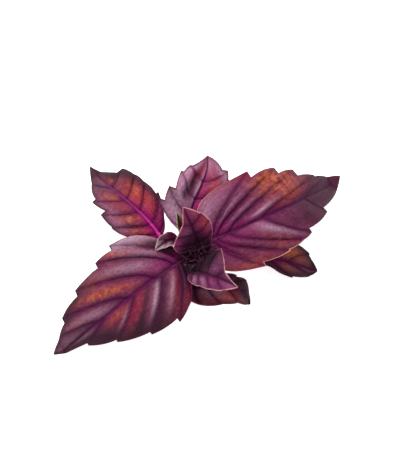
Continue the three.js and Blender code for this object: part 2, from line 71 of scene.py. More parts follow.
# As in the part's source. Pairs hold the left side, then the right, seen from base to tip.
# rows and columns: how fine the grid is. margin: half the thickness at the margin. early: how much sooner
# the side veins leave the midrib, as a share of the leaf.
LEAVES = {
    "leaf_front_left": dict(
        USUAL, rib=[(-5.4, 1.9, 25.6), (-18, -6.8, 30), (-42, -23.5, 16), (-56.2, -28.2, -5.5)],
        stalk=[(-6.2, 2.1, 22.2), (-6.3, 2.1, 23.4), (-6.1, 2.1, 24.6)],
        radii=(0.9, 1), width=(17.8, 20), veins=(0.03, 0.07, 0.2, 0.385, 0.6),
        lobe=((0.042, 10.5), (0.046, 20.4)), point=(-0.2, 0.25),
        edge=(
            numbers("0.1 15 0, 0.215 19 1.7, 0.375 16.4 1.1, 0.55 11 1, 0.72 4.7 1"),
            numbers("0.3 21.4 2.4, 0.425 19.3 2.3, 0.625 16 2.6, 0.79 10.4 2.1, 0.88 5.4 0.1"),
        ),
        fold=((8, 5), (14, 5)), curl=((-25, -10), (-30, -10)), wave=((0.8, 2, 0.1), (0.8, 2, 0.6)),
        puff=0.9, rows=34, columns=54, early=(0.045, 0),
    ),
    "leaf_back_right": dict(
        USUAL, rib=[(4.9, 8.8, 27), (20, 15, 31), (41, 27.5, 22), (57.2, 46.5, -5.5)],
        stalk=[(-0.6, 2.6, 23.4), (1.2, 4.4, 25), (2.8, 6.6, 26.2)],
        radii=(0.9, 1), width=(19, 16.5), veins=(0.01, 0.03, 0.1, 0.3, 0.6),
        lobe=((-0.12, 20), (-0.12, 13)), point=(0.2, 1),
        edge=(
            numbers("0.355 19.2 2.9, 0.545 16.4 2.8, 0.67 12.7 3.1, 0.8 7 0.7, 0.9 4.2 0.1"),
            numbers("0.17 18.2 1.9, 0.32 16.4 0.5, 0.42 15 0, 0.48 13.8 1.8, 0.665 9.2 2.2"),
        ),
        fold=((19, 8), (10, 5)), wave=((0.7, 2, 0.4), (0.7, 2, 0)), puff=0.8, rows=31, columns=54,
    ),
    "leaf_back_left": dict(
        USUAL, rib=[(-15, 15, 14), (-20, 23.5, 18), (-33, 33, 16.5), (-44.4, 50.5, -4.2)],
        stalk=[(-12.6, 0.9, 11), (-14, 4.4, 12), (-15.5, 9, 12.5)],
        radii=(1, 0.9), width=(12, 10.6), veins=(0.03, 0.12, 0.26, 0.41, 0.6), lobe=((0.02, 7), (0.02, 3)),
        point=(0.1, -0.3),
        edge=(
            numbers("0.16 10.6 0, 0.3 12.4 0.4, 0.44 11.5 2.4, 0.6 9.8 1.8, 0.79 4.4 0.2"),
            numbers("0.1 5.6 0, 0.27 11 1.2, 0.44 10.9 0.2, 0.56 10.5 0.2, 0.7 9 2.7"),
        ),
        fold=((12, 8), (12, 8)), curl=((-22, -12), (-22, -12)), wave=((0.5, 2, 0.3), (0.5, 2, 0.8)),
        puff=0.7, rows=25, columns=42,
    ),
    "leaf_low_right": dict(
        USUAL, rib=[(12, 10, 9), (22, 9, 12), (37, 7.3, 10), (46.8, 5.8, -3.5)],
        stalk=[(-7.6, 0.1, 10), (-2, 4, 8.8), (6, 8, 8)],
        radii=(1, 0.9), width=(9, 5.6), lobe=((0.04, 6), (0.05, 1.5)), point=(0.3, 0.3),
        edge=(
            numbers("0.25 7.5 0, 0.45 8.8 0.3, 0.67 9.2 0.7, 0.84 6.3 0.9"),
            numbers("0.25 2.2 0, 0.42 3.9 0.2, 0.66 6.1 0.6, 0.88 2.8 0.3"),
        ),
        fold=((10, 8), (10, 8)), wave=((0.4, 2, 0.2), (0.4, 2, 0.7)), puff=0.6, rows=24, columns=30,
    ),
    "leaf_back": dict(
        USUAL, rib=[(-1, 13, 18), (-9, 23, 21.5), (5, 31.6, 28), (3.2, 41.8, 31.5)],
        stalk=[(-6.2, 2.4, 16.4), (-5.5, 6, 16.4), (-3, 9.5, 16.6)],
        width=(10.5, 11.5), veins=(0.05, 0.14, 0.3, 0.48, 0.7), lobe=((0.04, 4), (0.05, 7)),
        point=(0.3, 0.4),
        edge=(
            numbers("0.16 5 0, 0.38 13.6 2.3, 0.52 12.1 2.8, 0.73 9.5 1, 0.86 6.9 1"),
            numbers("0.25 8.5 0, 0.45 10 0.2, 0.66 10.1 0.2, 0.8 9.4 0.3, 0.87 8 2.1"),
        ),
        fold=((20, 25), (2, 6)), curl=((-20, -25), (-20, -25)), roll=(12, 10, 4),
        wave=((2.2, 2, 0.2), (0.4, 1, 0.5)), puff=0.8, rows=25, columns=42,
    ),
    "leaf_front": dict(
        USUAL, rib=[(-3, -5, 15), (5, -7.5, 20), (17.5, -3.5, 19), (20, -7.9, -4)],
        stalk=[(-5.4, -2.9, 15.2), (-5, -3.6, 15.2), (-4, -4.4, 15)],
        width=(5.6, 7.4), lobe=((0.05, 3.5), (-0.04, 6.2)), point=(0.3, -0.2),
        edge=(
            numbers("0.25 4.4 0, 0.5 5.5 1, 0.68 5.6 0.2, 0.82 3.9 0.2"),
            numbers("0.12 7.5 0, 0.32 7.3 0.2, 0.55 5.2 0.2, 0.82 2.2 0.3"),
        ),
        fold=((10, 5), (10, 5)), wave=((0.3, 2, 0), (0.6, 2, 0.4)), puff=0.5, rows=26, columns=28,
    ),
    "young_leaf_back": dict(
        USUAL, rib=[(-0.2, 3.2, 30.6), (-0.5, 8.4, 35), (-3.5, 11, 41), (-5.8, 15.5, 45)],
        stalk=[(-0.5, 2.6, 28.6), (-0.4, 2.8, 29.4), (-0.3, 3, 30)],
        radii=(0.6, 0.6), width=(9.3, 7), lobe=((-0.12, 6), (0.02, 4.5)), point=(0.1, 0.4),
        edge=(
            numbers("0.12 8.3 0, 0.3 9.2 0.2, 0.5 7 0.1, 0.7 3 0.1"),
            numbers("0.22 5.5 0, 0.4 6.8 0.1, 0.58 7 0.3, 0.76 5.2 0.4"),
        ),
        fold=((20, 20), (10, 10)), roll=(-10, -10, 0), wave=((0.3, 2, 0), (0.3, 2, 0.5)), puff=0.4, rows=28,
        columns=36, margin=0.15,
    ),
    "young_leaf_front": dict(
        USUAL, rib=[(-2.2, -3.7, 30.2), (2, -7.2, 35), (8, -9.5, 39), (14.1, -13.3, 39)],
        stalk=[(-1.2, -2.6, 28.2), (-1.4, -2.8, 28.9), (-1.8, -3.3, 29.5)],
        radii=(0.6, 0.6), width=(10, 6.5), lobe=((0.05, 2.5), (-0.12, 3.6)), point=(-0.5, 0.4),
        edge=(
            numbers("0.2 4.2 0, 0.38 7.4 0.1, 0.6 11.5 0.3, 0.7 3.3 0.1"),
            numbers("0.06 4.6 0, 0.3 4.9 0.2, 0.55 4.8 0.2, 0.78 3.8 0.2"),
        ),
        fold=((25, 25), (0, 0)), curl=((20, 10), (-20, -10)), roll=(10, 10, 0),
        wave=((0.2, 2, 0), (0.2, 2, 0.5)), puff=0.4, rows=28, columns=36, margin=0.15,
    ),
    "axil_leaf_left": dict(
        USUAL, rib=[(-8, 7.6, 28.4), (-10, 8.6, 31.2), (-13, 7.1, 31.2), (-16.2, 4.2, 29.5)],
        stalk=[(-3.2, 2.4, 26.8), (-4.6, 4.4, 27.6), (-6, 6.2, 27.6)],
        radii=(0.5, 0.5), width=(2.5, 2.6), veins=(0.2, 0.5), lobe=((-0.34, 3.3), (0.05, 3)),
        point=(0.1, 0.1),
        edge=(((0.4, 2.9, 0.3), (0.7, 2.2, 0.3)), ((0.4, 3.4, 0.3), (0.7, 2.6, 0.3))),
        fold=((20, 20), (20, 20)), curl=((10, 10), (-10, -10)), wave=((0.1, 1, 0), (0.1, 1, 0)), puff=0.1,
        rows=16, columns=16, margin=0.18,
    ),
    "axil_leaf_back": dict(
        USUAL, rib=[(-5, 8, 30), (-6.5, 11, 33), (-7.5, 14, 36), (-8.2, 16.2, 38)],
        stalk=[(-2, 2.3, 27.6), (-2.4, 4, 27.6), (-3.6, 6, 28.6)],
        radii=(0.5, 0.5), width=(1.5, 2.5), veins=(0.2, 0.5), lobe=((0.05, 1.3), (0.05, 2.2)),
        point=(0.1, 0.1),
        edge=(((0.4, 1.6, 0.1), (0.7, 1.2, 0.1)), ((0.4, 2.5, 0.3), (0.7, 1.9, 0.3))),
        fold=((20, 20), (20, 20)), curl=((10, 10), (-10, -10)), wave=((0.1, 1, 0), (0.1, 1, 0)), puff=0.1,
        rows=16, columns=16, margin=0.16,
    ),
}

STEM_PATH = numbers("-34 -11.7 1.7, -24 -7.2 2.6, -14 -3 7, -7 -0.5 15, -3 0.8 24, -0.2 0.1 30.4")
STEM_HALF = (1.9, 1.15)  # half width at the cut end and at the top
STEM_RINGS = 150
STEM_NODES = ((0.63, 0.35), (0.75, 0.3), (0.87, 0.25))  # where leaves join, and how far it swells there
STEM_SWELL = 0.025  # half length of a swelling, as a share of the stem
STEM_ROUNDED = 1.19  # how far a corner stands out, where a sharp one has 1.41
STEM_FURROW = (0.07, 0.22)  # depth, and half width in radians
STEM_RIDGES = (0.008, 24)  # height and number
STEM_CUT = ((0.06, -0.12), (0.5, -0.08), (0.85, 0))  # rings of the cut end: share of the width, and height
STEM_PITH = (1, 0.9, 0.6)  # how much of the pith's colour those rings have

# Unopened leaves of the shoot tip: direction in degrees, height of the tip, lean outwards, half width.
TIP_LEAVES = numbers("""
    8 4.4 5.6 2.2, 60 6 2.8 1.7, 120 5.4 2.4 1.7, 190 4.8 4.8 2, 225 4.8 2 1.4, 330 5.4 1.6 1.2,
    43 3.2 6.6 2.9, 95 5.8 1.5 1.2, 155 5 3.4 1.6, 352 3.6 3.8 1.7, 170 2.8 7.2 3, 208 2.4 5.8 2.4,
    285 5 1.1 0.9, 10 5.7 0.9 0.9, 170 5.5 1 0.9""")
TIP_FOOT = 31.2  # height of its foot
TIP_CORE = (1.4, 2.2)  # radius and half height
TIP_RINGS = (16, 28)  # rings of the core, and points in each
TIP_MIDDLE = 1.5  # height from which the hairs spread
TIP_SEED = 40
BARE = 3  # distance from veins and margin that the core and the hairs are given
HAIRS = 420
HAIR_SEED = 11
HAIR_LENGTH = (0.35, 0.9)
HAIR_BEND = (0.1, 0.3)  # least and most, as a share of the length
HAIR_SPREAD = 0.35
HAIR_RADIUS = 0.028
HAIR_RINGS = ((-0.08, 1), (0.5, 0.6))  # share along the hair, and its width there
HAIR_ANGLES = (0, 2.094, 4.189)

# Painted shade round the shoot tip, which lies in shadow.
TIP_SHADE_AT = (0.2, 1.2)
TIP_SHADE_SPAN = (4.5, 10.5)  # painted shade from the shoot tip fades out over the leaves between these distances from that point
CORE_TIP_SHADE = 0.6  # and painted shade laid over the whole shoot tip, this strong

CAMERA = (-0.12, -167.61, 488.9)  # millimetres in the part's frame
CAMERA_TILT = 20  # degrees from straight down
LENS = 100
SENSOR = 36
FLOOR_HALF = 2  # metres
FLOOR_DROP = 0.00005  # metres
FLOOR_GLOW = 0.68
WORLD = ((0.96, 1, 0.99, 1), 0.45)
# Name, place in metres, diameter and power of each light.
LIGHTS = (
    ("key", (-0.35, 0.55, 0.9), 0.6, 14.2),
    ("fill", (0.6, -0.3, 0.8), 0.9, 2),
    ("top", (0, -0.05, 1.1), 0.6, 2.5),
)

# Patches of colour on each side of a leaf, as rows of: row, share, row spread, share spread, strength. All
# are hundredths: row 100 is the first side vein, 150 half way to the second, and share 100 is the margin.
PATCHES = {
    ("leaf_front_left", 0): dict(
        glow="440 35 25 20 50", red="445 40 35 35 90, 372 50 30 70 100, 220 60 35 70 80, 110 85 80 30 130",
        pale="530 50 20 30 50, 408 60 7 30 50, 310 45 8 32 100, 242 50 13 32 60",
        dark_and_shade="""
            580 80 90 60 100, 470 90 60 30 70, 345 50 12 70 70, 340 100 180 26 90, 280 50 14 60 60,
            140 36 60 36 85""",
    ),
    ("leaf_front_left", 1): dict(
        glow="150 90 35 22 60, 275 90 30 20 50, 350 60 26 36 90, 470 70 20 20 40",
        red="330 50 30 50 60, 80 40 35 30 100",
        pale="80 100 40 32 100, 150 45 40 35 40, 250 50 30 35 50, 450 50 35 40 45, 550 60 35 50 40",
        hot="140 16 100 22 70, 260 20 40 15 40",
        dark_and_shade="560 80 70 90 45, 550 0 60 20 80, 360 100 120 14 80, 72 45 26 20 150", lit="60 100 20 50 70",
    ),
    ("leaf_back_right", 0): dict(
        glow="180 90 40 14 80, 270 84 70 19 100, 370 66 40 22 90, 430 50 25 25 40",
        red="90 97 60 12 80, 440 45 40 35 80",
        pale="55 65 30 40 45, 135 40 25 30 30, 250 40 25 20 30, 355 32 18 16 100",
        hot="130 12 160 20 75, 350 12 80 10 50", dark_and_shade="550 70 90 100 95, 430 95 60 20 70",
        lit="50 100 40 50 90",
    ),
    ("leaf_back_right", 1): dict(
        glow="320 65 20 25 40, 250 85 50 16 45, 110 88 50 12 45", red="160 65 50 40 40, 90 92 60 14 70",
        pale="365 40 20 40 70", hot="80 40 60 30 40, 200 15 180 20 55",
        dark_and_shade="560 60 100 100 85, 440 85 50 40 50, 500 30 80 50 30, 160 60 120 50 30",
        lit="190 100 130 50 100",
    ),
    ("leaf_back_left", 0): dict(
        glow="250 40 28 30 85, 150 45 28 30 80, 420 45 30 25 60", red="60 60 70 60 90, 340 35 50 30 50",
        pale="260 85 160 20 35, 520 50 40 40 25", hot="80 20 100 22 90, 240 10 100 12 60",
        dark_and_shade="560 80 80 50 70, 300 100 140 10 70",
    ),
    ("leaf_back_left", 1): dict(
        glow="370 42 90 26 75, 510 40 30 25 50", red="340 40 100 40 100, 240 50 50 30 80",
        hot="80 45 100 40 90, 240 10 100 14 90",
        dark_and_shade="280 100 240 30 100, 520 85 90 45 90, 590 50 50 80 70",
    ),
    ("leaf_low_right", 0): dict(
        glow="350 50 80 36 100", hot="320 5 120 14 70", dark_and_shade="340 100 200 20 90, 480 50 50 60 70",
    ),
    ("leaf_low_right", 1): dict(
        glow="340 55 30 25 50", pale="480 50 30 40 30", hot="320 20 120 25 60", dark_and_shade="300 95 200 30 70",
    ),
    ("leaf_back", 0): dict(
        glow="120 75 50 20 70", red="510 45 50 20 120",
        pale="460 12 140 9 100, 300 70 120 35 90, 160 50 80 40 70, 490 90 80 15 80",
        dark_and_shade="450 40 60 17 110, 360 50 25 12 80",
    ),
    ("leaf_back", 1): dict(
        glow="460 50 50 20 60", red="420 50 120 30 100", pale="450 95 180 14 90, 570 25 40 30 60",
        hot="340 18 120 18 100, 520 10 50 12 50",
    ),
    ("leaf_front", 0): dict(dark_and_shade="400 50 120 80 90"),
    ("leaf_front", 1): dict(
        glow="240 75 70 20 40", red="260 60 100 50 70", pale="200 40 60 30 50",
        dark_and_shade="450 50 60 90 120, 300 100 150 12 60", lit="80 100 70 50 80",
    ),
    ("young_leaf_back", 0): dict(red="460 30 60 40 50", pale="340 50 40 30 20", hot="200 60 80 40 70"),
    ("young_leaf_back", 1): dict(glow="320 70 70 25 30", red="330 75 100 35 90", hot="220 40 80 30 50"),
    ("young_leaf_front", 0): dict(pale="290 50 30 40 30", dark_and_shade="440 30 60 50 50"),
    ("young_leaf_front", 1): dict(pale="160 60 25 25 60, 260 55 25 25 50", hot="350 50 80 50 30"),
    ("axil_leaf_left", 0): dict(pale="220 70 100 50 80"),
    ("axil_leaf_left", 1): dict(red="120 50 100 50 80", pale="270 60 60 60 80"),
}
# Painted light among these: pale is mostly painted sheen, lit a painted rim of light, and the darkest mask
# partly painted shade.
MASKS = ("glow", "red", "pale", "hot", "dark_and_shade", "lit")

# Local hollows and crests, as rows of: side, row, share, row spread, share spread, height. Row 1 is the
# first side vein, and share 1 the margin.
DENTS = {
    "leaf_back": numbers("""
        0 4.6 0.42 0.7 0.18 -1.8, 0 4.6 0.13 1.2 0.08 0.5, 0 3.5 0.5 0.3 0.2 -1, 0 4 0.75 0.3 0.2 0.7,
        1 4 0.45 1 0.2 -0.6, 1 5 0.8 0.7 0.2 0.6"""),
    "leaf_front_left": numbers(
        "0 3.12 0.5 0.13 0.35 0.45, 0 2.42 0.5 0.16 0.35 0.4, 1 0.8 0.6 0.4 0.3 0.4"),
    "leaf_back_right": numbers("0 3.55 0.3 0.2 0.2 0.4, 1 3.6 0.45 0.3 0.35 0.4, 0 1.3 0.4 0.2 0.3 0.3"),
}


def scatter(i, j, seed, weights=(127.1, 311.7)):
    """A number from 0 to 1 for each cell of a lattice, with no pattern to it."""
    return np.modf(np.abs(np.sin(i * weights[0] + j * weights[1] + seed) * 43758.5453))[0]


def noise(x, y, seed):
    """Smooth value noise from -1 to 1 on a lattice of unit cells."""
    def corner(i, j):
        return scatter(i, j, seed * 74.7) * 2 - 1

    i, j = np.floor(x), np.floor(y)
    u, v = x - i, y - j
    u, v = u * u * (3 - 2 * u), v * v * (3 - 2 * v)
    low = corner(i, j) * (1 - u) + corner(i + 1, j) * u
    high = corner(i, j + 1) * (1 - u) + corner(i + 1, j + 1) * u
    return low * (1 - v) + high * v


def cells(x, y, seed):
    """How far a point is from the border of its cell: 0 on the border, rising towards the middle."""
    i, j = np.floor(x), np.floor(y)
    near = np.full(x.shape, np.inf)
    second = near.copy()
    for di in (-1, 0, 1):
        for dj in (-1, 0, 1):
            a, b = i + di, j + dj
            move, shift = scatter(a, b, seed), scatter(a, b, seed, (269.5, 183.3))
            away = np.hypot(a + 0.15 + 0.7 * move - x, b + 0.15 + 0.7 * shift - y)
            second = np.minimum(second, np.maximum(near, away))
            near = np.minimum(near, away)
    return second - near


def smooth(x, low, high):
    """A soft step from 0 at low to 1 at high."""
    t = np.clip((x - low) / (high - low), 0, 1)
    return t * t * (3 - 2 * t)


def unit(v):
    return v / np.linalg.norm(v, axis=-1, keepdims=True)


def along(values, u):
    """Value at u in 0..1 of a list spread evenly from base to tip."""
    return np.interp(np.clip(u, 0, 1), np.linspace(0, 1, len(values)), values)


def bezier(points, t):
    """Points of a cubic curve at each t from 0 to 1."""
    a, b, c, d = points
    t = np.asarray(t)[..., None]
    return a * (1 - t) ** 3 + 3 * b * t * (1 - t) ** 2 + 3 * c * t * t * (1 - t) + d * t**3


def heart(points):
    """How much painted shade of the shoot tip's hollow falls on points, from 0 to 1."""
    return 1 - smooth(np.hypot(points[..., 0] - TIP_SHADE_AT[0], points[..., 1] - TIP_SHADE_AT[1]), *TIP_SHADE_SPAN)


class Rib:
    """A midrib: points and directions by distance along it, with a level sideways direction."""

    def __init__(self, points):
        self.points = np.array(points, float)
        self.t = np.linspace(0, 1, RIB_STEPS)
        steps = np.linalg.norm(np.diff(bezier(self.points, self.t), axis=0), axis=1)
        self.reach = np.concatenate([[0], np.cumsum(steps)])
        self.length = self.reach[-1]
        way = self.points[3] - self.points[0]
        self.side = unit(np.array([-way[1], way[0], 0.0]))

    def at(self, distance):
        a, b, c, d = self.points
        held = np.clip(distance, 0, self.length)
        t = np.interp(held, self.reach, self.t)
        k = t[..., None]
        forward = unit(3 * (b - a) * (1 - k) ** 2 + 6 * (c - b) * k * (1 - k) + 3 * (d - c) * k * k)
        point = bezier(self.points, t) + forward * (distance - held)[..., None]
        left = unit(self.side - forward * (forward @ self.side)[..., None])
        return point, left, np.cross(forward, left)


def bulged(a, b, belly):
    """Control point of a margin that bows out by belly between two points."""
    return ((a[0] + b[0]) / 2, (a[1] + b[1]) / 2 + 2 * belly)


def rows_of(leaf, length):
    """Grid rows as columns of an array: start on the midrib, share along and half width at the left margin,
    then at the right margin, swell, and number, which is whole on a side vein."""
    rows = []
    count = leaf["rows"]

    def stretch(begin, end, controls, steps, number, swells=True):
        for i in range(steps):
            f = i / steps
            row = [begin[0] + (end[0] - begin[0]) * f]
            for a, c, b in zip(begin[1:], controls, end[1:]):
                row += [a[n] * (1 - f) ** 2 + 2 * c[n] * f * (1 - f) + b[n] * f * f for n in (0, 1)]
            rows.append(row + [4 * f * (1 - f) * swells, number + f * swells])

    here = (0, (0, BASE_WIDTH), (0, BASE_WIDTH))
    for k, vein in enumerate(leaf["veins"]):
        teeth = [side[k] for side in leaf["edge"]]
        tip = (vein, *((t, half) for t, half, _ in teeth))
        notch = (vein + CUT, *((t, half - depth) for t, half, depth in teeth))
        controls = leaf["lobe"]
        if k:
            controls = [bulged(a, b, BELLY * length * (b[0] - a[0])) for a, b in zip(here[1:], tip[1:])]
        stretch(here, tip, controls, count, k)
        controls = [bulged(a, b, 0) for a, b in zip(tip[1:], notch[1:])]
        stretch(tip, notch, controls, max(2, count // 7), k + 1, False)
        here = notch
    end = (1, (1, TIP_WIDTH), (1, TIP_WIDTH))
    controls = [bulged(a, b, belly) for a, b, belly in zip(here[1:], end[1:], leaf["point"])]
    stretch(here, end, controls, count, len(leaf["veins"]))
    stretch(end, end, end[1:], 1, len(leaf["veins"]) + 1, False)
    return np.array(rows).T


def along_vein(leaf, side, start, end, s):
    """Share along the leaf at share s of the way out on a vein, which may leave the midrib early."""
    moved, first, last = EARLY
    early = leaf["early"][side] * smooth(start, 0, first) * smooth(start, 1, last)
    return start - early * smooth(s, 0, moved) * (1 - s) + (end - start) * s**SWEEP


def half_surface(leaf, rib, rows, side, s):
    """The middle surface of one half of a blade, over rows and shares s from midrib to margin."""
    start, swell_share, number = rows[0], rows[5], rows[6]
    end, half = rows[1 + 2 * side], rows[2 + 2 * side]
    width = leaf["width"][side]
    distance = along_vein(leaf, side, start[:, None], end[:, None], s) * rib.length
    out = half[:, None] * s
    u = np.clip(distance / rib.length, 0, 1)
    fold = np.radians(along(leaf["fold"][side], u))
    curl = np.radians(along(leaf["curl"][side], u))
    height, count, phase = leaf["wave"][side]
    share = out / width
    across = width / curl * (np.sin(fold + curl * share) - np.sin(fold))
    bend = -width / curl * (np.cos(fold + curl * share) - np.cos(fold))
    ripple = height * share**2 * np.sin(2 * math.pi * (count * u + phase))
    swell = leaf["puff"] * swell_share[:, None] * 4 * s * (1 - s) * np.clip(half / width, 0, 1)[:, None]
    roll = np.radians(along(leaf["roll"], u))[..., None]
    point, left, up = rib.at(distance)
    turned = left * np.cos(roll) + up * np.sin(roll)
    up = up * np.cos(roll) - left * np.sin(roll)
    sideways = across if side == 0 else -across
    point = point + turned * sideways[..., None] + up * (bend + ripple + swell)[..., None]
    return dict(
        point=point, distance=distance, out=out, u=u, s=np.broadcast_to(s, out.shape),
        row=np.broadcast_to(number[:, None], out.shape), margin=half[:, None] * (1 - s),
        side=np.full(out.shape, float(side)), half=np.broadcast_to(half[:, None], out.shape),
    )


def vein_distance(leaf, rib, half, side):
    """Distance in the blade from each grid point to the nearest side vein, in mm."""
    s = np.linspace(0, 1, VEIN_STEPS)
    lines = []
    for vein, (tip, reach, _) in zip(leaf["veins"], leaf["edge"][side]):
        lines.append(np.stack([along_vein(leaf, side, vein, tip, s) * rib.length, reach * s], -1))
    spots = np.concatenate(lines)
    flat = np.stack([half["distance"], half["out"]], -1)
    best = np.full(half["out"].shape, np.inf)
    for x, y in spots:
        best = np.minimum(best, (flat[..., 0] - x) ** 2 + (flat[..., 1] - y) ** 2)
    return np.sqrt(best)


def spot(grid, side, row, share, row_spread, share_spread):
    """A round spot on one half of a blade: 1 in its middle, fading out."""
    bump = np.exp(-(((grid["row"] - row) / row_spread) ** 2) - ((grid["s"] - share) / share_spread) ** 2)
    return bump * (grid["side"] == side)


def patches(name, grid):
    """The strength of every colour mask, from 0 to 1."""
    masks = {mask: np.zeros(grid["s"].shape) for mask in MASKS}
    for side in (0, 1):
        for mask, spots in PATCHES.get((name, side), {}).items():
            for row in numbers(spots):
                *place, strength = (percent / 100 for percent in row)
                masks[mask] += strength * spot(grid, side, *place)
    return {mask: np.clip(value, 0, 1) for mask, value in masks.items()}


def dents(name, grid):
    """The height of local hollows and crests, level at the midrib."""
    lift = np.zeros(grid["s"].shape)
    for *place, height in DENTS.get(name, ()):
        lift += height * spot(grid, *place) * smooth(grid["out"], 0, 1)
    return lift


def blade(name, leaf, rib, seed):
    """Rings of points round the blade, with what the material reads at each of them."""
    rows = rows_of(leaf, rib.length)
    s = np.linspace(0, 1, leaf["columns"] + 1)
    sides = [half_surface(leaf, rib, rows, side, s) for side in (0, 1)]
    for side in (0, 1):
        sides[side]["vein"] = vein_distance(leaf, rib, sides[side], side)
    grid = {key: np.concatenate([sides[1][key][:, :0:-1], sides[0][key]], axis=1) for key in sides[0]}
    signed = np.where(grid["side"] == 0, grid["out"], -grid["out"])
    point = grid["point"]
    size = np.clip(grid["half"] / max(leaf["width"]), 0, 1)

    row_step, column_step = np.gradient(point, axis=0), np.gradient(point, axis=1)
    normal = unit(np.cross(row_step, column_step) + 1e-9)

    # Small cells between the side veins, and slow unevenness of the whole blade.
    net = cells(grid["distance"] / NET + seed * APART[0], signed / NET, seed)
    pillow = smooth(net, 0, 0.45) * smooth(grid["margin"], 0, 1.5) * smooth(grid["out"], 0.3, 2)
    slow = noise(grid["distance"] / 7 + seed, signed / 6, seed + 3) * UNEVEN[0]
    slow += noise(grid["distance"] / 3, signed / 3, seed + 5) * UNEVEN[1]
    lift = size * (PILLOW * pillow + slow * smooth(grid["out"], 0.5, 6)) + dents(name, grid)
    taper, rib_taper = THICKEST - TAPER[0] * grid["s"], THICKEST - TAPER[1] * grid["u"]
    groove = np.exp(-((grid["vein"] / (GROOVE[0] * taper)) ** 2)) * smooth(grid["margin"], 0, 2)
    channel = np.exp(-((grid["out"] / (CHANNEL[0] * rib_taper)) ** 2))
    half = HALF_BLADE * (1 - grid["s"] ** 4) + leaf["margin"] * grid["s"] ** 4
    thin = np.clip(0.4 + size, 0, 1)
    middle = point + normal * lift[..., None]
    sunk = GROOVE[1] * groove + CHANNEL[1] * channel
    raised = RAISED[0] * groove + RAISED[1] * channel * (1 - grid["u"])
    top = middle + normal * (half - thin * sunk)[..., None]
    bottom = middle - normal * (half + thin * raised)[..., None]
    ends = ((-1, -3), (0, 2))
    rim = [middle[:, i] + unit(middle[:, i] - middle[:, j]) * half[:, i, None] for i, j in ends]
    top[..., 2] = np.maximum(top[..., 2], LOWEST[0])
    bottom[..., 2] = np.maximum(bottom[..., 2], 0)
    for line in rim:
        line[:, 2] = np.maximum(line[:, 2], LOWEST[1])

    ring = np.concatenate([top, rim[0][:, None], bottom[:, ::-1], rim[1][:, None]], axis=1)

    def around(values, under=None):
        other = values if under is None else under
        return np.concatenate([values, values[:, -1:], other[:, ::-1], values[:, :1]], axis=1)

    data = {mask: around(value) for mask, value in patches(name, grid).items()}
    data.update(
        vein=around(grid["vein"] / taper), rib=around(grid["out"] / rib_taper), net=around(net),
        margin=around(grid["margin"]), under=around(np.zeros(net.shape), np.ones(net.shape)),
        along=around(grid["u"]), heart=heart(ring),
    )
    apart = np.full(ring.shape[:2], float(seed * APART[1]))
    data["flat"] = np.stack([around(grid["distance"]), around(signed), apart], -1)
    count = ring.shape[0] * ring.shape[1]
    return ring, {key: values.reshape(count, *values.shape[2:]) for key, values in data.items()}


def bands(rows, count, offset):
    """First points, and their neighbours, of all quads between rings of count points."""
    first, step = np.arange(rows - 1)[:, None] * count, np.arange(count)[None]
    return (first + step).ravel() + offset, (first + (step + 1) % count).ravel() + offset


def blade_faces(rows, count, offset=0):
    """Quads over rings, and caps that join the upper skin to the lower at both ends."""
    a, b = bands(rows, count, offset)
    faces = np.stack([a, a + count, b + count, b], -1).tolist()
    across = count // 2 - 1
    for base, flip in ((offset, False), (offset + (rows - 1) * count, True)):
        caps = [[i, i + 1, 2 * across - i - 1, 2 * across - i] for i in range(across - 1)]
        caps += [[across - 1, across, across + 1], [0, 2 * across, 2 * across + 1]]
        for cap in caps:
            cap = [base + i for i in cap]
            faces.append(cap[::-1] if flip else cap)
    return faces


def frames_along(points):
    """Directions square to a line, carried along it without twisting."""
    tangents = unit(np.gradient(points, axis=0))
    axis = np.zeros(3)
    axis[np.argmin(np.abs(tangents[0]))] = 1
    first = np.cross(tangents[0], unit(np.cross(tangents[0], axis)))
    normals = [first]
    for before, after in zip(tangents[:-1], tangents[1:]):
        turn = np.cross(before, after)
        size = np.linalg.norm(turn)
        n = normals[-1]
        if size > 1e-9:
            turn /= size
            angle = math.asin(min(1, size))
            c, s = math.cos(angle), math.sin(angle)
            n = n * c + np.cross(turn, n) * s + turn * (turn @ n) * (1 - c)
        normals.append(n)
    normals = np.array(normals)
    return normals, np.cross(tangents, normals)


def spline(points, count):
    """A centripetal curve through points, at even steps of length."""
    p = np.array(points, float)
    p = np.vstack([2 * p[0] - p[1], p, 2 * p[-1] - p[-2]])
    line = []
    for i in range(1, len(p) - 2):
        a, b, c, d = p[i - 1 : i + 3]
        t0 = 0
        t1 = t0 + np.linalg.norm(b - a) ** 0.5
        t2 = t1 + np.linalg.norm(c - b) ** 0.5
        t3 = t2 + np.linalg.norm(d - c) ** 0.5
        t = np.linspace(t1, t2, SPLINE_STEPS, endpoint=False)[:, None]

        def between(low, high, p0, p1):
            return (high - t) / (high - low) * p0 + (t - low) / (high - low) * p1

        ab, bc, cd = between(t0, t1, a, b), between(t1, t2, b, c), between(t2, t3, c, d)
        line.append(between(t1, t2, between(t0, t2, ab, bc), between(t1, t3, bc, cd)))
    line = np.vstack(line + [p[-2:-1]])
    reach = np.concatenate([[0], np.cumsum(np.linalg.norm(np.diff(line, axis=0), axis=1))])
    even = np.linspace(0, reach[-1], count)
    return np.stack([np.interp(even, reach, line[:, k]) for k in range(3)], -1)


def tube(line, section):
    """Rings of a tube along a line, not below the surface it lies on. section(u, angle) is its radius."""
    normals, sideways = frames_along(line)
    angle = np.linspace(0, 2 * math.pi, TUBE_SIDES, endpoint=False)
    u = np.linspace(0, 1, len(line))
    reach = section(u[:, None], angle[None])
    c, s = np.cos(angle)[None, :, None], np.sin(angle)[None, :, None]
    rings = line[:, None] + reach[..., None] * (c * normals[:, None] + s * sideways[:, None])
    rings[..., 2] = np.maximum(rings[..., 2], 0)
    return rings


def tube_faces(rows, count, offset=0):
    """Quads over rings, and a flat cap at both ends."""
    a, b = bands(rows, count, offset)
    faces = np.stack([a, b, b + count, a + count], -1).tolist()
    faces.append([offset + i for i in reversed(range(count))])
    faces.append([offset + (rows - 1) * count + i for i in range(count)])
    return faces


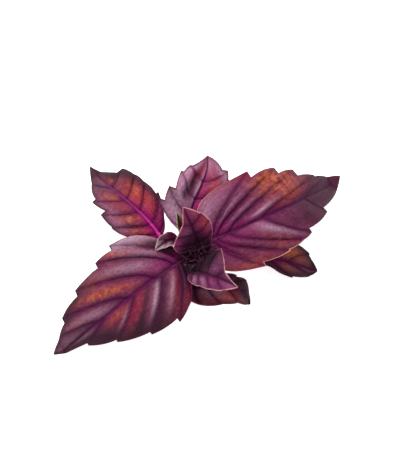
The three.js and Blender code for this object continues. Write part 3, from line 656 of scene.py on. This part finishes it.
def petiole(leaf, rib):
    """A petiole with a shallow channel, running on under the base of the blade."""
    stalk = bezier(np.array([*leaf["stalk"], leaf["rib"][0]], float), np.linspace(0, 1, 5))
    start = stalk[0] - unit(stalk[1] - stalk[0]) * STALK_START
    share, depth = np.array(STALK_UNDER).T
    point, _, up = rib.at(share * rib.length)
    under = point - up * depth[:, None] * leaf["radii"][1]
    line = spline(np.vstack([start, stalk[:-1], stalk[-1:] - up[:1] * STALK_LIFT, under]), STALK_RINGS)
    low, high = leaf["radii"]

    def section(u, angle):
        radius = (low + (high - low) * u) * np.minimum(1, 0.25 + 2.5 * (1 - u))
        return radius * (1 + 0.05 * np.cos(3 * angle) + 0.02 * np.sin(9 * u + 2 * angle))

    return tube(line, section)


def new_object(name, data):
    thing = bpy.data.objects.new(name, data)
    bpy.context.scene.collection.objects.link(thing)
    return thing


def make_piece(name, points, faces, data, materials, node, material_of=None):
    """A smooth mesh object in the part's frame that stands for a CAD node."""
    mesh = bpy.data.meshes.new(name)
    mesh.from_pydata(((points + SHIFT) * MM).tolist(), [], faces)
    for key, values in data.items():
        kind, field = ("FLOAT_VECTOR", "vector") if values.ndim == 2 else ("FLOAT", "value")
        attribute = mesh.attributes.new(key, kind, "POINT")
        attribute.data.foreach_set(field, values.astype(np.float32).ravel())
    mesh.polygons.foreach_set("use_smooth", [True] * len(mesh.polygons))
    for material in materials:
        mesh.materials.append(material)
    if material_of is not None:
        mesh.polygons.foreach_set("material_index", material_of)
    mesh.validate()
    mesh.update()
    piece = new_object(name, mesh)
    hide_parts(node)
    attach(piece, "root")
    return piece


def make_leaf(name, leaf, seed, materials):
    """A blade and its petiole as one piece. The second material is the petiole's."""
    rib = Rib(leaf["rib"])
    ring, data = blade(name, leaf, rib, seed)
    stalk = petiole(leaf, rib)
    faces = blade_faces(*ring.shape[:2])
    blade_count = len(faces)
    points, stalk_points = ring.reshape(-1, 3), stalk.reshape(-1, 3)
    faces += tube_faces(*stalk.shape[:2], len(points))
    extras = dict(flat=stalk_points, heart=heart(stalk_points))
    for key, values in data.items():
        data[key] = np.concatenate([values, extras.get(key, np.zeros(len(stalk_points)))])
    material_of = [0] * blade_count + [1] * (len(faces) - blade_count)
    points = np.vstack([points, stalk_points])
    return make_piece(name + "_fine", points, faces, data, materials, name, material_of)


def make_stem(material):
    """A square stem with shallow furrows, swollen where leaves join, cut across at its lower end."""
    line = spline(STEM_PATH, STEM_RINGS)

    def section(u, angle):
        half = STEM_HALF[0] + (STEM_HALF[1] - STEM_HALF[0]) * u
        for place, extra in STEM_NODES:
            half = half + extra * np.exp(-(((u - place) / STEM_SWELL) ** 2))
        turn = np.abs(np.mod(angle, math.pi / 2) - math.pi / 4)
        flat = 1 / np.cos(math.pi / 4 - turn)
        square = np.minimum(flat, STEM_ROUNDED)
        furrow = STEM_FURROW[0] * np.exp(-(((math.pi / 4 - turn) / STEM_FURROW[1]) ** 2))
        ridged = STEM_RIDGES[0] * np.sin(angle * STEM_RIDGES[1] + 3 * np.sin(9 * u))
        return half * (square - furrow + ridged)

    rings = tube(line, section)
    centre = rings[0].mean(0)
    outward = unit(line[0] - line[1])
    cut = np.array([centre + (rings[0] - centre) * share + outward * height for share, height in STEM_CUT])
    core = np.array([*STEM_PITH, *np.zeros(len(line))])
    height = np.array([*np.zeros(len(cut)), *np.linspace(0, 1, len(line))])
    data = dict(core=np.repeat(core, TUBE_SIDES), along=np.repeat(height, TUBE_SIDES))
    rings = np.concatenate([cut, rings])
    faces = tube_faces(*rings.shape[:2])
    return make_piece("stem_fine", rings.reshape(-1, 3), faces, data, [material], "stem")


def hair_mesh(roots, directions, lengths, rng):
    """Bent three-sided hairs standing on given points."""
    points, faces = [], []
    for root, direction, length in zip(roots, directions, lengths):
        side = unit(np.cross(direction, rng.normal(size=3)))
        other = np.cross(direction, side)
        bend = side * length * rng.uniform(*HAIR_BEND)
        base = len(points)
        for share, wide in HAIR_RINGS:
            for angle in HAIR_ANGLES:
                away = (side * math.cos(angle) + other * math.sin(angle)) * HAIR_RADIUS * wide
                points.append(root + direction * length * share + away + bend * share**2)
        points.append(root + direction * length + bend)
        for k in range(3):
            m = (k + 1) % 3
            faces.append([base + k, base + m, base + 3 + m, base + 3 + k])
            faces.append([base + 3 + k, base + 3 + m, base + 6])
        faces.append([base + 2, base + 1, base])
    return np.array(points), faces


def bud_leaf(direction, height, lean, width):
    """Values of a tiny leaf of the shoot tip, as in LEAVES."""
    c, s = math.cos(math.radians(direction)), math.sin(math.radians(direction))

    def turn(distance, z):
        return (distance * c, distance * s, TIP_FOOT + z)

    return dict(
        USUAL,
        rib=[turn(0.5, 0.9), turn(lean * 0.75, height * 0.4), turn(lean * 0.85, height * 0.8),
             turn(lean, height)],
        width=(width, width), veins=(0.2, 0.5), lobe=((0.03, width * 0.8),) * 2, point=(0.1, 0.1),
        edge=(((0.35, width, 0.06), (0.65, width * 0.75, 0.06)),) * 2,
        fold=((25, 25),) * 2, curl=((30, 20),) * 2, wave=((0.05, 1, 0), (0.05, 1, 0.4)),
        puff=0.08, rows=8, columns=9, margin=0.1,
    )


def make_tip(materials):
    """The closed shoot tip: a core wrapped by tiny folded leaves, with short hairs."""
    rng = np.random.default_rng(HAIR_SEED)
    points, faces, data = np.zeros((0, 3)), [], {}
    for n, entry in enumerate(TIP_LEAVES):
        leaf = bud_leaf(*entry)
        ring, values = blade("tip", leaf, Rib(leaf["rib"]), TIP_SEED + n)
        faces += blade_faces(*ring.shape[:2], len(points))
        points = np.vstack([points, ring.reshape(-1, 3)])
        for key, value in values.items():
            data.setdefault(key, []).append(value)
    leaf_points = len(points)
    (radius, half), (steps, around) = TIP_CORE, TIP_RINGS
    polar = np.linspace(0.06, math.pi - 0.06, steps)[:, None]
    turn = np.linspace(0, 2 * math.pi, around, endpoint=False)
    across, rise = radius * np.sin(polar), TIP_FOOT + half * (1 - np.cos(polar)) + 0 * turn
    core = np.stack([across * np.cos(turn), across * np.sin(turn), rise], -1).reshape(-1, 3)
    core *= 1 + 0.04 * noise(core[:, :1] * 2, core[:, 2:] * 2 + core[:, 1:2], 5) * np.array([[1, 1, 0]])
    faces += tube_faces(steps, around, len(points))
    points = np.vstack([points, core])
    picked = rng.choice(leaf_points, HAIRS, replace=False)
    middle = np.array([0, 0, TIP_FOOT + TIP_MIDDLE])
    directions = unit(unit(points[picked] - middle) + rng.normal(scale=HAIR_SPREAD, size=(HAIRS, 3)))
    hairs, hair_faces = hair_mesh(points[picked], directions, rng.uniform(*HAIR_LENGTH, HAIRS), rng)
    solid_faces = len(faces)
    faces += [[i + len(points) for i in face] for face in hair_faces]
    material_of = [0] * solid_faces + [1] * (len(faces) - solid_faces)
    points = np.vstack([points, hairs])
    for key, parts in data.items():
        shape = (len(points) - leaf_points, *parts[0].shape[1:])
        beyond = np.full(shape, float(BARE if key in ("vein", "rib", "margin") else 0))
        data[key] = np.concatenate([*parts, beyond])
    # Painted shade over the whole shoot tip, which sits in the hollow between the young leaves.
    data["heart"][:] = CORE_TIP_SHADE
    slot = node = "shoot_tip"
    return make_piece("shoot_tip_fine", points, faces, data, materials, node, material_of)


def srgb(screen):
    """A screen colour, 0xRRGGBB, as linear light."""
    def linear(c):
        c /= 255
        return c / 12.92 if c <= 0.04045 else ((c + 0.055) / 1.055) ** 2.4

    return (*(linear(screen >> bits & 255) for bits in (16, 8, 0)), 1)


class Nodes:
    """A material with a Principled shader, colours by name, and short names for the nodes that feed it."""

    def __init__(self, name, colours, specular=0.5):
        self.colours = {key: srgb(value) for key, value in colours.items()}
        self.material = bpy.data.materials.new(name)
        self.material.use_nodes = True
        self.tree = self.material.node_tree
        self.tree.nodes.clear()
        self.shader = self.tree.nodes.new("ShaderNodeBsdfPrincipled")
        self.shader.inputs["Specular IOR Level"].default_value = specular
        output = self.tree.nodes.new("ShaderNodeOutputMaterial")
        self.tree.links.new(self.shader.outputs[0], output.inputs[0])

    def put(self, socket, value):
        """Link a node's output to a socket, or set it to a value or to a colour's name."""
        if isinstance(value, bpy.types.NodeSocket):
            self.tree.links.new(value, socket)
        else:
            socket.default_value = self.colours[value] if isinstance(value, str) else value

    def add(self, kind, inputs=(), **settings):
        """The outputs of a new node with these settings, once its inputs are set or linked."""
        node = self.tree.nodes.new("ShaderNode" + kind)
        for key, value in settings.items():
            setattr(node, key, value)
        for key, value in dict(inputs).items():
            self.put(node.inputs[key], value)
        return node.outputs

    def place(self):
        return self.add("TexCoord")["Object"]

    def attribute(self, name):
        return self.add("Attribute", attribute_name=name)["Vector" if name == "flat" else "Fac"]

    def times(self, a, b):
        return self.add("Math", {0: a, 1: b}, operation="MULTIPLY")[0]

    def plus(self, a, b):
        return self.add("Math", {0: a, 1: b}, operation="ADD")[0]

    def fade(self, value, low, high, start=0, end=1):
        inputs = {"Value": value, "From Min": low, "From Max": high, "To Min": start, "To Max": end}
        return self.add("MapRange", inputs, interpolation_type="SMOOTHSTEP")[0]

    def mix(self, factor, a, b):
        return self.add("Mix", {0: factor, 6: a, 7: b}, data_type="RGBA")[2]

    def noise(self, vector, scale, detail=3, roughness=0.55):
        inputs = {"Vector": vector, "Scale": scale, "Detail": detail, "Roughness": roughness}
        return self.add("TexNoise", inputs)["Fac"]

    def bump(self, height, strength, distance):
        normal = self.add("Bump", {"Height": height, "Strength": strength, "Distance": distance})[0]
        self.put(self.shader.inputs["Normal"], normal)

    def lay(self, factor, colour):
        """Lay a colour over the base colour."""
        self.base = self.mix(factor, self.base, colour)

    def paint_shade_by_tip(self):
        """Lay painted shade over the base colour towards the shoot tip, where the leaves lie in shadow."""
        self.lay(self.fade(self.attribute("heart"), 0, 1, 0, 0.93), "heart")

    def finish(self, roughness):
        self.put(self.shader.inputs["Base Color"], self.base)
        self.put(self.shader.inputs["Roughness"], roughness)
        return self.material


# Colours on screen. Some stand for light and shade: pale is mostly a painted sheen, the darkest is partly
# painted shade, the colour for the shoot tip is painted shade, and lit is a painted rim of light.
PALETTE = dict(
    mauve=0x722e4a, plum=0x501236, glow=0x943622, amber=0xb05e30, red=0x7a1424, pale=0xb2809a,
    hot=0x820858, dark_and_shade=0x22111c, vein=0x38082c, rib_base=0x400a32, rib=0x681250, rib_tip=0x461836,
    rim=0x52222a, under=0x764a5e, heart=0x210b18, lit=0xd6968e,
)
# Painted shade on the petioles near the shoot tip.
STALK_TIP_SHADE = 0x1e0916
# The top colour is painted shade on the stem where it runs under the shoot tip.
STEM_COLOURS = dict(
    dark=0x542038, light=0x764254, green=0x706e42, streak=0x361628, top=0x1e0a14, pith=0xc6cca0,
    pith_edge=0xacb880,
)
MATT = ("tip", "leaf_front")
SPECULAR = (0.02, 0.06)  # of those leaves, and of the others
# What each leaf has in place of the palette's colours.
LOOKS = {
    "leaf_front_left": dict(
        mauve=0x70324a, pale=0xac8c9c, rib=0x5e124a, rib_tip=0x361428, rim=0x482228, dark_and_shade=0x26181e,
    ),
    "leaf_back_right": dict(
        mauve=0x723450, pale=0xb28aa2, rib=0x4a0a3c, rib_tip=0x421c38, rim=0x482228, dark_and_shade=0x341622,
    ),
    "leaf_back_left": dict(
        mauve=0x6e3244, plum=0x52162e, red=0x9c202c, hot=0x94085a, dark_and_shade=0x261418, rim=0x3a2626,
        rib_base=0xce32a4, rib=0x84206c, rib_tip=0x542c44,
    ),
    "leaf_low_right": dict(mauve=0x743846, plum=0x56203a, glow=0xb25e32, rim=0x3c2a2a, dark_and_shade=0x281620),
    "leaf_back": dict(
        mauve=0x925672, plum=0x783658, pale=0xbc96ac, hot=0xaa1c70, red=0xb0303e, vein=0x581c42,
    ),
    "leaf_front": dict(mauve=0x642e38, plum=0x4a2028, rim=0x563236, dark_and_shade=0x20120e),
    "young_leaf_back": dict(
        mauve=0x803054, plum=0x601c44, red=0x8c2232, rim=0xce928a, rib_base=0x320a28, rib=0x400c32,
    ),
    "young_leaf_front": dict(
        mauve=0x7a3e5e, plum=0x582442, rim=0xd09894, rib_base=0x320a28, rib=0x461238,
    ),
    "axil_leaf_left": dict(
        mauve=0x603442, plum=0x42182a, pale=0xb0969c, red=0x540c1c, rim=0xbe9894, rib_base=0x3c0c28,
        rib=0x421230,
    ),
    "axil_leaf_back": dict(mauve=0x685a3a, plum=0x544432, rim=0xb2a270),
    # The shoot tip: its tiny leaves' own dark colours, made darker still as painted shade of its hollow.
    "tip": dict(
        mauve=0x361826, plum=0x200c18, vein=0x180812, rib_base=0x300c24, rib=0x300c24, rib_tip=0x300c24,
        rim=0x422230, under=0x321826,
    ),
}


def leaf_material(name):
    """The skins of a leaf: panels with painted shade towards their veins, patches (some of them painted
    sheen and shade), veins, midrib, rim, underside and painted shade by the shoot tip.
    """
    young = name.startswith(("young", "axil"))
    n = Nodes("leaf_" + name, {**PALETTE, **LOOKS[name]}, SPECULAR[name not in MATT])
    keys = ("flat", "net", "vein", "rib", "margin", "along", "dark_and_shade")
    flat, net, vein, rib, margin, way, dark_and_shade = map(n.attribute, keys)
    tone = n.noise(flat, 0.16, 2)
    mottle = n.noise(flat, 0.9, 4, 0.6)
    fine = n.noise(flat, 3.5, 3, 0.6)
    ember = n.noise(flat, 0.42, 3, 0.6)

    # Panels between the veins are mauve in the middle and plum towards the veins and the midrib, as painted
    # shade in the grooves beside the raised panels.
    panel = n.times(n.fade(vein, 0.5, 3.2), n.fade(rib, 0.6, 4, 0.45, 1))
    n.base = n.mix(n.times(panel, n.fade(tone, 0.3, 0.62, 0.35, 1)), "plum", "mauve")
    n.lay(n.fade(mottle, 0.4, 0.75, 0, 0.35), "plum")

    # Patches, broken up by the noises and by the cells between the veins.
    n.lay(n.times(n.attribute("red"), n.fade(mottle, 0.2, 0.7, 1, 0.55)), "red")
    heat = n.mix(n.fade(ember, 0.42, 0.66), "glow", "amber")
    heat = n.mix(n.fade(mottle, 0.5, 0.7, 0, 0.3), heat, "amber")
    glow = n.times(n.attribute("glow"), n.fade(net, 0.02, 0.24, 0.55, 1))
    n.lay(n.times(glow, n.fade(ember, 0.28, 0.5, 0.45, 1)), heat)
    # Pale patches: mostly painted sheen and highlights on the raised panels, with some of the leaf's own
    # paler tone.
    pale = n.times(n.attribute("pale"), n.fade(mottle, 0.25, 0.7, 1, 0.6))
    n.lay(n.times(pale, n.fade(net, 0, 0.16, 0.75, 1)), "pale")
    # Painted highlights on the crinkles, away from the veins.
    n.lay(n.times(n.fade(n.noise(flat, 0.5, 3, 0.6), 0.4, 0.8), n.fade(vein, 0.4, 1.6, 0, 0.14)), "pale")
    n.lay(n.times(n.attribute("hot"), 0.85), "hot")
    # The darkest patches: the leaf's own dark tone at tips and margins, and painted shade in hollows and
    # under other leaves.
    n.lay(n.times(dark_and_shade, 0.85), "dark_and_shade")

    n.lay(n.fade(net, 0, 0.15, 0.42, 0), "vein")
    n.lay(n.fade(vein, 0.2, 2, 0.25 if young else 0.4, 0), "vein")
    n.lay(n.fade(vein, 0.1, 0.45, 0.5 if young else 0.85, 0), "vein")
    n.lay(n.fade(rib, 0.4, 2, 0.5, 0), "vein")
    midrib = n.mix(n.fade(way, 0.02, 0.35), "rib_base", "rib")
    n.lay(n.fade(rib, 0.3, 0.62, 0.9, 0), n.mix(n.fade(way, 0.45, 0.9), midrib, "rib_tip"))
    if young:
        broken = n.fade(n.noise(flat, 0.5, 2), 0.3, 0.6, 0.35, 0.85)
        n.lay(n.times(n.fade(margin, 0.06, 0.24, 1, 0), broken), "rim")
    else:
        n.lay(n.fade(margin, 0.1, 0.8, 0.7, 0), "rim")
    # The darkest patches again, over the veins, midrib and rim: own dark tone and painted shade.
    n.lay(n.times(dark_and_shade, 0.5), "dark_and_shade")
    # A painted rim of light along a few margins.
    n.lay(n.times(n.attribute("lit"), n.fade(margin, 0.08, 0.3, 1, 0)), "lit")

    back = n.mix(n.fade(mottle, 0.35, 0.7), "under", "mauve")
    back = n.mix(n.fade(vein, 0.2, 0.8, 0.6, 0), back, "pale")
    n.lay(n.attribute("under"), n.mix(n.fade(rib, 0.5, 1, 0.7, 0), back, "hot"))
    n.lay(n.fade(fine, 0.3, 0.7, 0.3, 0), "vein")
    # Painted shade towards the shoot tip.
    n.paint_shade_by_tip()

    grain = n.add("TexVoronoi", {"Vector": flat, "Scale": 3.2})["Distance"]
    n.bump(n.plus(n.times(grain, 0.6), n.times(fine, 0.8)), 0.4, 0.0001)
    return n.finish(n.plus(n.fade(mottle, 0.3, 0.7, 0.42, 0.56), n.fade(vein, 0.1, 0.6, 0.1, 0)))


def stalk_material(name, dark, light):
    n = Nodes(name, dict(dark=dark, light=light, heart=STALK_TIP_SHADE), 0.03)
    flat = n.attribute("flat")
    stripe = n.noise(flat, 1.2)
    n.base = n.mix(n.fade(stripe, 0.35, 0.65), "dark", "light")
    # Painted shade towards the shoot tip.
    n.paint_shade_by_tip()
    n.bump(n.noise(flat, 4), 0.3, 0.00008)
    return n.finish(n.fade(stripe, 0.3, 0.7, 0.42, 0.6))


def stem_material():
    """Skin greenish at the cut end and painted dark with shade at the top, under the shoot tip, and pith on
    the cut.
    """
    n = Nodes("stem_skin", STEM_COLOURS, 0.02)
    place = n.place()
    blotch = n.noise(place, 260, 4)
    streak = n.noise(place, 1400)
    height = n.attribute("along")
    n.base = n.mix(n.fade(blotch, 0.35, 0.65), "dark", "light")
    n.lay(n.times(n.fade(height, 0, 0.3, 0.7, 0), n.fade(blotch, 0.4, 0.7)), "green")
    n.lay(n.fade(streak, 0.35, 0.7, 0.35, 0), "streak")
    # Painted shade towards the top of the stem, under the shoot tip.
    n.lay(n.fade(height, 0.5, 0.78, 0, 0.95), "top")
    n.lay(n.fade(n.attribute("core"), 0.1, 0.75), n.mix(n.fade(blotch, 0.3, 0.7), "pith", "pith_edge"))
    n.bump(streak, 0.4, 0.00015)
    return n.finish(n.fade(streak, 0.3, 0.7, 0.45, 0.62))


def hair_material():
    n = Nodes("hairs", dict(dark=0x7e5c70, light=0xc4a8b6))
    shade = n.noise(n.place(), 900, 2)
    n.base = n.mix(n.fade(shade, 0.4, 0.6), "dark", "light")
    return n.finish(n.fade(shade, 0.3, 0.7, 0.35, 0.55))


def floor_material():
    n = Nodes("floor", dict(light=0xfafafb, dark=0xf7f7f8), 0.1)
    place = n.place()
    n.base = n.mix(n.fade(n.noise(place, 3, 2), 0.3, 0.7), "light", "dark")
    n.shader.inputs["Emission Color"].default_value = (1, 1, 1, 1)
    n.shader.inputs["Emission Strength"].default_value = FLOOR_GLOW
    return n.finish(n.fade(n.noise(place, 30, 2), 0.3, 0.7, 0.75, 0.85))


def make_stage():
    """The surface that the sprig lies on, the lights and the camera."""
    scene = bpy.context.scene
    mesh = bpy.data.meshes.new("floor")
    corners = [(x * FLOOR_HALF, y * FLOOR_HALF, 0) for x, y in ((-1, -1), (1, -1), (1, 1), (-1, 1))]
    mesh.from_pydata(corners, [], [(0, 1, 2, 3)])
    mesh.materials.append(floor_material())
    floor = new_object("floor", mesh)
    floor.location.z = -FLOOR_DROP

    world = bpy.data.worlds.new("studio")
    world.use_nodes = True
    background = world.node_tree.nodes["Background"].inputs
    background[0].default_value, background[1].default_value = WORLD
    scene.world = world
    for name, place, size, power in LIGHTS:
        lamp = bpy.data.lights.new(name, "AREA")
        lamp.shape = "DISK"
        lamp.size = size
        lamp.energy = power
        light = new_object(name, lamp)
        light.location = place
        tilt = math.acos(place[2] / np.linalg.norm(place))
        light.rotation_euler = (tilt, 0, math.atan2(-place[1], -place[0]) - math.pi / 2)

    lens = bpy.data.cameras.new("camera")
    lens.lens = LENS
    lens.sensor_width = SENSOR
    lens.clip_start = 0.01
    camera = new_object("camera", lens)
    camera.location = [c * MM for c in CAMERA]
    camera.rotation_euler = (math.radians(CAMERA_TILT), 0, 0)
    scene.camera = camera
    scene.view_settings.view_transform = "Standard"


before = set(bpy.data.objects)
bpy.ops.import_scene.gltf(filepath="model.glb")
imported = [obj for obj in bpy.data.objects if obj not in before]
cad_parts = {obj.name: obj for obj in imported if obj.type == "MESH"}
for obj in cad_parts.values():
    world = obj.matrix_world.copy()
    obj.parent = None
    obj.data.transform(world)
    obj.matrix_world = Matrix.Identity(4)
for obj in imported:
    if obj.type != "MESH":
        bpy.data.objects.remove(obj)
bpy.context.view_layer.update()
stalk_skin = stalk_material("petiole_skin", 0x400c30, 0x5c1c44)
bright_stalk = stalk_material("petiole_skin_bright", 0x96186e, 0xc43696)
for number, (leaf_name, leaf_values) in enumerate(LEAVES.items()):
    skin = bright_stalk if leaf_name == "leaf_back_left" else stalk_skin
    make_leaf(leaf_name, leaf_values, number + 1, [leaf_material(leaf_name), skin])
make_stem(stem_material())
make_tip([leaf_material("tip"), hair_material()])
make_stage()
